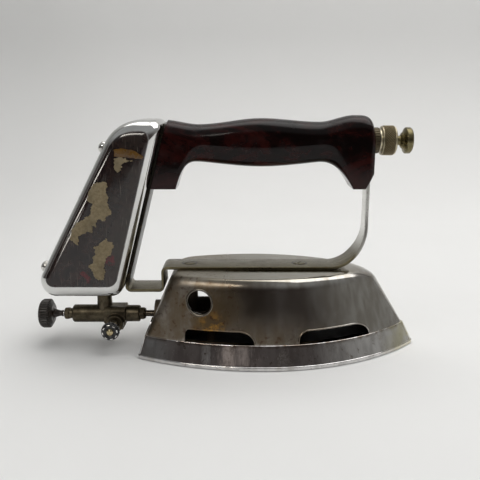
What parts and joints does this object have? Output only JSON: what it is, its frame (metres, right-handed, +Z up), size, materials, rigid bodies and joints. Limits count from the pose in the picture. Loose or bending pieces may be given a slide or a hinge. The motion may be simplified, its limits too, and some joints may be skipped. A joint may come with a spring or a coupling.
{
  "type": "gasoline iron",
  "caption": "Self-heating laundry iron: boat-shaped sole, vented shell with ring burner, strap frame, dark handle with built-in air pump, leaning fuel tank and needle valves.",
  "frame": {"origin": "middle of the sole's ironing face", "axes": "+X towards the sole's tip, +Y to the filler's side, +Z up"},
  "size_m": [0.2696, 0.101, 0.1622],
  "materials": {
    "sole_chrome": "polished, worn and stained",
    "shell_nickel": "dull nickel, tarnished brown round the holes",
    "burner_iron": "sooty cast iron",
    "strap_steel": "worn nickel on steel",
    "handle_bakelite": "dark mottled maroon, polished",
    "pump_brass": "aged, knurled and nickel-worn",
    "rod_steel": "bright drawn steel",
    "cup_leather": "oiled",
    "fitting_brass": "plain turned",
    "tank_chrome": "polished plate with paper scraps and stains",
    "gasket_lead": "grey sealing ring",
    "valve_brass": "dark olive-brown aged brass",
    "packing_cord": "graphited cord",
    "knob_black": "knurled, worn dark",
    "wheel_enamel": "black enamel on brass, worn bright on the knurl",
    "screw_brass": "slotted, bright from use",
    "generator_steel": "heat-darkened tube"
  },
  "bodies": {
    "iron": {"sole_plate": "sole_chrome", "body_shell": "shell_nickel", "burner": "burner_iron", "strap": "strap_steel", "strap_screws": "strap_steel", "handle": "handle_bakelite", "pump_barrel": "pump_brass", "barrel_ring_nut": "pump_brass", "pump_cap": "pump_brass", "check_valve": "fitting_brass", "tank_pump_bush": "fitting_brass", "tank_outlet_bush": "fitting_brass", "filler_bush": "fitting_brass", "gas_tip": "fitting_brass", "tank_shell": "tank_chrome", "tank_front": "tank_chrome", "heel_buttons": "tank_chrome", "outlet_pipe": "valve_brass", "valve_body": "valve_brass", "fuel_packing_nut": "valve_brass", "lighting_packing_nut": "valve_brass", "generator_nut": "valve_brass", "fuel_packing": "packing_cord", "lighting_packing": "packing_cord", "generator_tube": "generator_steel"},
    "pump_plunger": {"pump_rod": "rod_steel", "pump_knob": "pump_brass", "pump_cup": "cup_leather", "cup_retainer": "fitting_brass"},
    "check_ball": {"check_ball": "rod_steel"},
    "fuel_stem": {"fuel_needle": "rod_steel"},
    "fuel_wheel": {"fuel_knob": "knob_black", "fuel_knob_screw": "screw_brass"},
    "lighting_stem": {"lighting_needle": "rod_steel"},
    "lighting_wheel": {"lighting_knob": "wheel_enamel", "lighting_knob_screw": "screw_brass"},
    "filler_seal": {"filler_gasket": "gasket_lead"},
    "filler_cap": {"filler_plug": "fitting_brass"}
  },
  "joints": [
    {"name": "pump_slide", "type": "slide", "parent": "iron", "child": "pump_plunger", "axis": [1, 0, 0], "range_m": [0, 0.1]},
    {"name": "check_ball_lift", "type": "slide", "parent": "iron", "child": "check_ball", "axis": [-1, 0, 0], "range_m": [0, 0.001]},
    {"name": "fuel_needle_slide", "type": "slide", "parent": "iron", "child": "fuel_stem", "axis": [-1, 0, 0], "range_m": [0, 0.00165]},
    {"name": "fuel_knob_turn", "type": "hinge", "parent": "fuel_stem", "child": "fuel_wheel", "pos_m": [-0.16, 0, 0.0217], "axis": [-1, 0, 0], "range_deg": [0, 720]},
    {"name": "lighting_needle_slide", "type": "slide", "parent": "iron", "child": "lighting_stem", "axis": [0, -1, 0], "range_m": [0, 0.00085]},
    {"name": "lighting_knob_turn", "type": "hinge", "parent": "lighting_stem", "child": "lighting_wheel", "pos_m": [-0.1165, -0.024, 0.0178], "axis": [0, -1, 0], "range_deg": [0, 360]},
    {"name": "filler_plug_rise", "type": "slide", "parent": "iron", "child": "filler_seal", "axis": [0, 1, 0], "range_m": [0, 0.0071]},
    {"name": "filler_plug_turn", "type": "hinge", "parent": "filler_seal", "child": "filler_cap", "pos_m": [-0.1035, 0.03, 0.128], "axis": [0, 1, 0], "range_deg": [0, 1440]}
  ],
  "couplings": [
    {"joint": "fuel_needle_slide", "follows": "fuel_knob_turn", "m_per_rad": 0.00012732},
    {"joint": "lighting_needle_slide", "follows": "lighting_knob_turn", "m_per_rad": 0.00012732},
    {"joint": "filler_plug_rise", "follows": "filler_plug_turn", "m_per_rad": 0.00027852}
  ]
}
